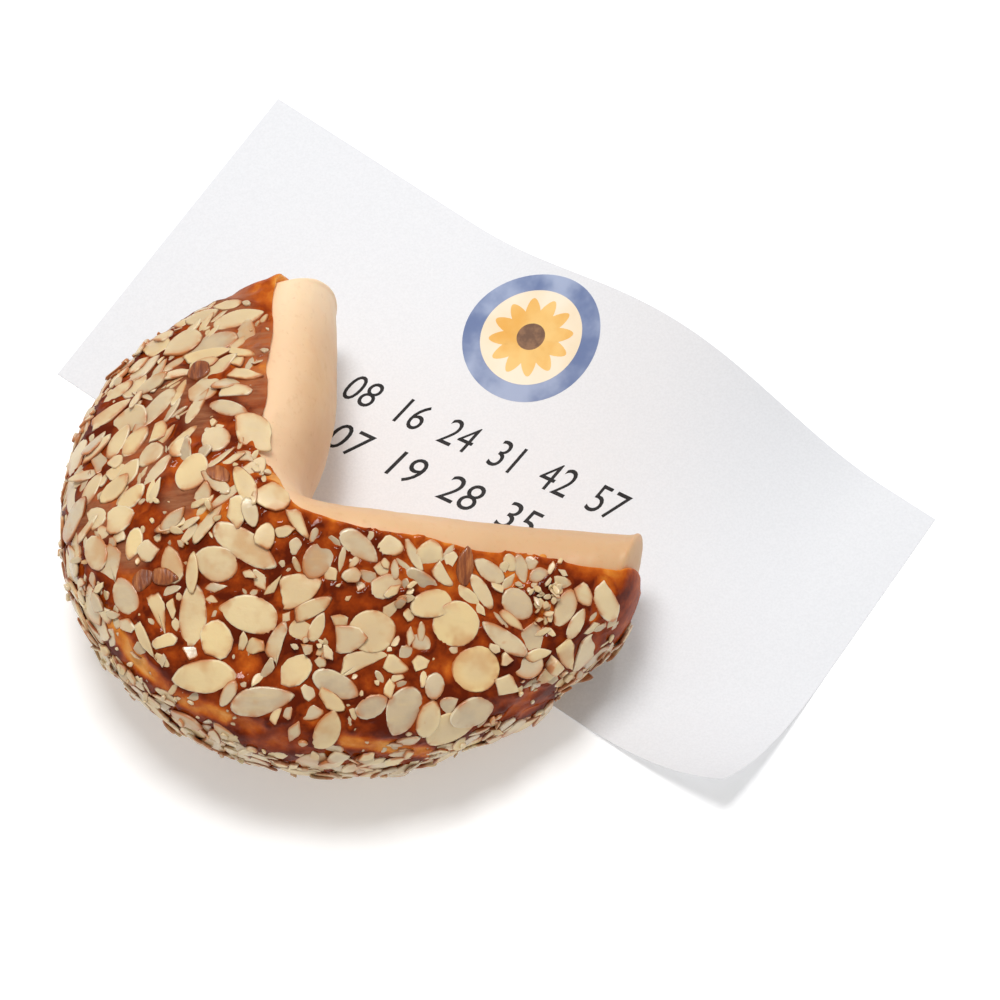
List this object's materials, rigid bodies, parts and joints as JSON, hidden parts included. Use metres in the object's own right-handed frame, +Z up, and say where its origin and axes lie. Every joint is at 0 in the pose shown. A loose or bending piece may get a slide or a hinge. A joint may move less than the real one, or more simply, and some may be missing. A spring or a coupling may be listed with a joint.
{
  "type": "giant fortune cookie",
  "caption": "Giant folded fortune cookie, its flanks dipped in caramel and covered with flaked almonds, lying on its paper fortune.",
  "frame": {"origin": "on the table, under the middle of the footprint of the cookie and its paper", "axes": "+X to the right along the longer horn, +Y along the shorter horn, +Z up"},
  "size_m": [0.2638, 0.2278, 0.0839],
  "materials": {
    "biscuit": "smooth baked biscuit, faintly mottled and finely pitted",
    "caramel": "glossy set caramel, dark where thick and orange where thin",
    "almond": "satin blanched almond, cream to pale yellow",
    "almond_skin": "brown striated almond skin",
    "paper": "smooth white printing paper",
    "print_ink": "matt dark printed ink",
    "print_colour": "matt coloured print"
  },
  "bodies": {
    "root": {"cookie": "biscuit", "caramel_almond_coat": "caramel", "fortune_slip": "paper"}
  },
  "joints": []
}
